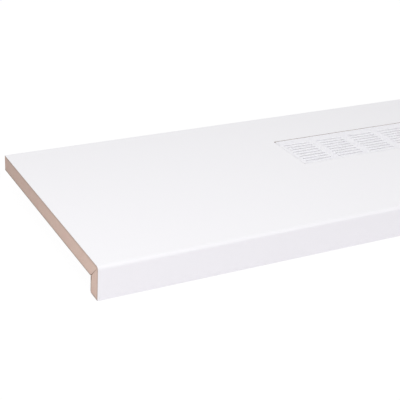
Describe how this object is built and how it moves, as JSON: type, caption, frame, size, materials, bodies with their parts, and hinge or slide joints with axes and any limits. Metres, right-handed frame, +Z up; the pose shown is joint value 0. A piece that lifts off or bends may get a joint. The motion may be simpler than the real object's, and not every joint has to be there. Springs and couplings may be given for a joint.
{
  "type": "window sill board",
  "caption": "Interior window sill board with a folded front apron, a white facing over a fibreboard core and a slotted ventilation grille let into the top.",
  "frame": {"origin": "middle of the bounding box in plan, at the height of the apron's lower edge", "axes": "+X along the board, +Y towards the window, away from the apron, +Z up out of the white face"},
  "size_m": [1.2, 0.3, 0.04],
  "materials": {
    "raw_fibreboard": "sawn edge of medium density fibreboard",
    "white_laminate": "satin white laminate",
    "white_plastic": "satin white moulded plastic"
  },
  "bodies": {
    "root": {"sill_panel": "raw_fibreboard", "front_apron": "raw_fibreboard", "white_facing": "white_laminate", "vent_grille": "white_plastic"}
  },
  "joints": []
}
